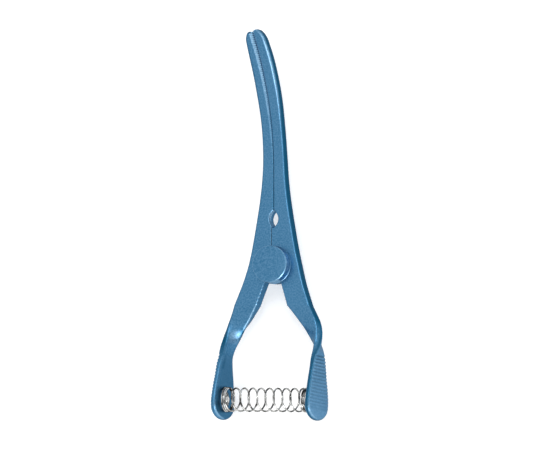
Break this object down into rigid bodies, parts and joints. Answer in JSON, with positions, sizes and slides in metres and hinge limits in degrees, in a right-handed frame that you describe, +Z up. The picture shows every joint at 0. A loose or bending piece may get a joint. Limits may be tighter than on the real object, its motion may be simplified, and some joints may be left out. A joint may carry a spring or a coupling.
{
  "type": "bulldog clamp",
  "caption": "Small surgical bulldog clamp with long slim curved toothed jaws, a round pivot disc, twisted handles with ribbed thumb plates and a coil spring that keeps the jaws shut.",
  "frame": {"origin": "centre of the bounding box on the plane the clamp lies on, which touches the rear edges of the thumb plates", "axes": "+Y along the clamp to the jaw tips, +X to the right arm, +Z up out of the face with the pivot disc"},
  "size_m": [0.014, 0.0502, 0.0061],
  "materials": {
    "anodised_blue": "satin blue anodised",
    "rivet_blue": "satin blue anodised",
    "spring_steel": "drawn bright wire",
    "bare_seat": "satin turned"
  },
  "bodies": {
    "left_half": {"left_arm": "anodised_blue", "pivot_rivet": "rivet_blue", "closing_spring": "spring_steel", "left_spring_seat": "bare_seat"},
    "right_half": {"right_arm": "anodised_blue", "right_spring_seat": "bare_seat"}
  },
  "joints": [
    {"name": "jaw_pivot", "type": "hinge", "parent": "left_half", "child": "right_half", "pos_m": [0, -0.00528, 0.00305], "axis": [0, 0, -1], "range_deg": [0, 20], "stiffness_Nm_per_rad": 0.024, "springref_deg": -20.05, "deforming": ["closing_spring"]}
  ]
}
